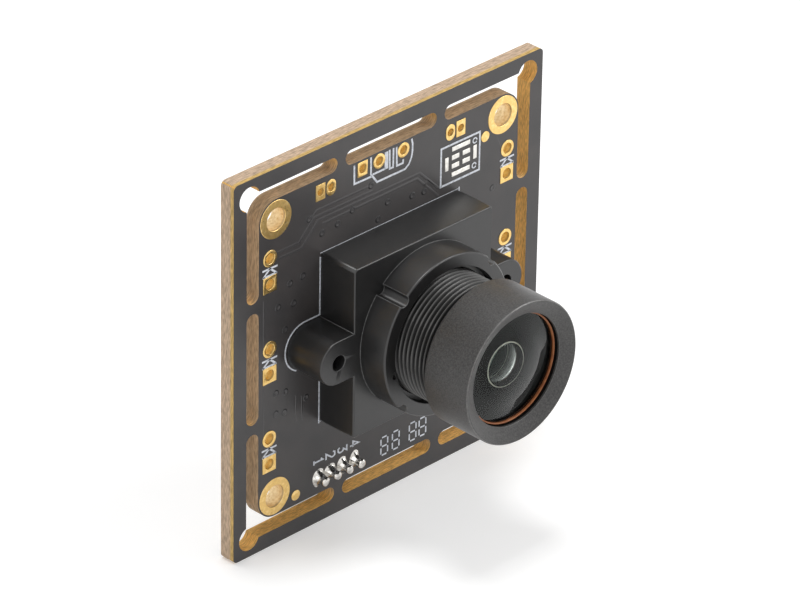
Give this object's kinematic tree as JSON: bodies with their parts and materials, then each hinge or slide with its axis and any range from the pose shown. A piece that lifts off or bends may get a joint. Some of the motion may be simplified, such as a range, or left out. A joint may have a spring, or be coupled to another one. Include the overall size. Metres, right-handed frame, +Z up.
{
  "type": "camera module",
  "caption": "Square board camera: a wide-angle screw-in lens in a moulded holder on a circuit board with a routed breakaway frame and plated corner holes.",
  "frame": {"origin": "middle of the four plated mounting holes, on the board's back face", "axes": "+Z up, +X to the right seen from the front, the lens looks along -Y and the board's back face looks along +Y"},
  "size_m": [0.038, 0.0228, 0.038],
  "materials": {
    "solder_mask": "dark warm grey solder mask over glass-fibre board, tan cut edges",
    "gold_plate": "thin gold plating on copper",
    "tin_plate": "bare tinned copper",
    "holder_plastic": "black moulded plastic, fine grain",
    "screw_steel": "plated steel",
    "sensor_ceramic": "dark ceramic package",
    "silicon": "polished silicon",
    "cover_glass": "clear flat glass",
    "filter_glass": "coated filter glass",
    "barrel_metal": "black anodised, fine grain",
    "lens_glass": "polished and coated",
    "seal_ring": "copper-brown seal",
    "blackened_metal": "matt black",
    "header_plastic": "ivory moulded nylon",
    "pin_metal": "tinned brass",
    "solder": "shiny solder",
    "chip_epoxy": "black moulded epoxy with tinned legs",
    "crystal_metal": "nickel-plated lid on a ceramic tray",
    "ferrite": "dark grey ferrite",
    "tantalum_epoxy": "ochre moulded epoxy",
    "capacitor_ceramic": "tan ceramic with tinned ends",
    "resistor_ceramic": "black glaze with tinned ends"
  },
  "bodies": {
    "root": {"circuit_board": "solder_mask", "mounting_rings": "gold_plate", "led_pads": "gold_plate", "two_pin_pads": "gold_plate", "three_pin_pads": "gold_plate", "fiducial_dots": "gold_plate", "footprint_pads": "tin_plate", "lens_holder": "holder_plastic", "holder_screws": "screw_steel", "image_sensor": "sensor_ceramic", "sensor_die": "silicon", "sensor_glass": "cover_glass", "infrared_filter": "filter_glass", "lens_barrel": "barrel_metal", "front_lens": "lens_glass", "lens_seal": "seal_ring", "second_lens": "lens_glass", "aperture_stop": "blackened_metal", "third_lens": "lens_glass", "rear_spacer": "blackened_metal", "fourth_lens": "lens_glass", "retaining_ring": "blackened_metal", "usb_header": "header_plastic", "header_pins": "pin_metal", "header_joints": "solder", "camera_controller": "chip_epoxy", "flash_memory": "chip_epoxy", "voltage_regulators": "chip_epoxy", "crystal": "crystal_metal", "power_inductor": "ferrite", "tantalum_capacitor": "tantalum_epoxy", "chip_capacitors": "capacitor_ceramic", "chip_resistors": "resistor_ceramic"}
  },
  "joints": []
}
